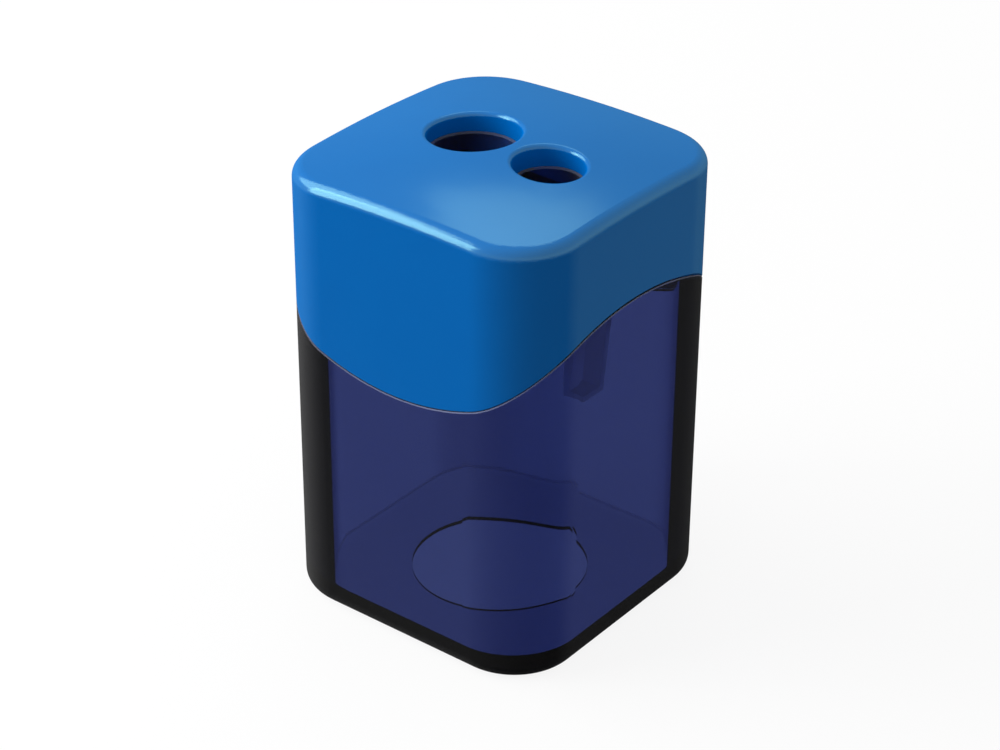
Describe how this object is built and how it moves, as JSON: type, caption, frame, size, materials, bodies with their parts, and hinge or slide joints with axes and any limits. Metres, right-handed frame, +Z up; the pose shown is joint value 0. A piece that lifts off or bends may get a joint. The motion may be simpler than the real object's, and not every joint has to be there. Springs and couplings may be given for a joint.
{
  "type": "pencil sharpener",
  "caption": "Hand-held pencil sharpener: a crowned lift-off lid with a large and a small pencil hole, holding the blades, over a clear rounded-square bin for the shavings.",
  "frame": {"origin": "middle of the face that the container stands on", "axes": "+Z up towards the pencil holes, -Y the front wall, where the lid's edge dips, +X towards the small hole"},
  "size_m": [0.038, 0.038, 0.0577],
  "materials": {
    "clear_navy_plastic": "polished, clear",
    "blue_plastic": "satin gloss, opaque",
    "dark_navy_plastic": "polished, dark and slightly clear",
    "blade_steel": "ground",
    "screw_steel": "plated"
  },
  "bodies": {
    "container": {"container": "clear_navy_plastic"},
    "lid_assembly": {"lid": "blue_plastic", "sharpener_block": "dark_navy_plastic", "large_blade": "blade_steel", "small_blade": "blade_steel", "large_blade_screw": "screw_steel", "small_blade_screw": "screw_steel"}
  },
  "joints": [
    {"name": "lid_lift", "type": "slide", "parent": "container", "child": "lid_assembly", "axis": [0, 0, 1], "range_m": [0, 0.035]}
  ]
}
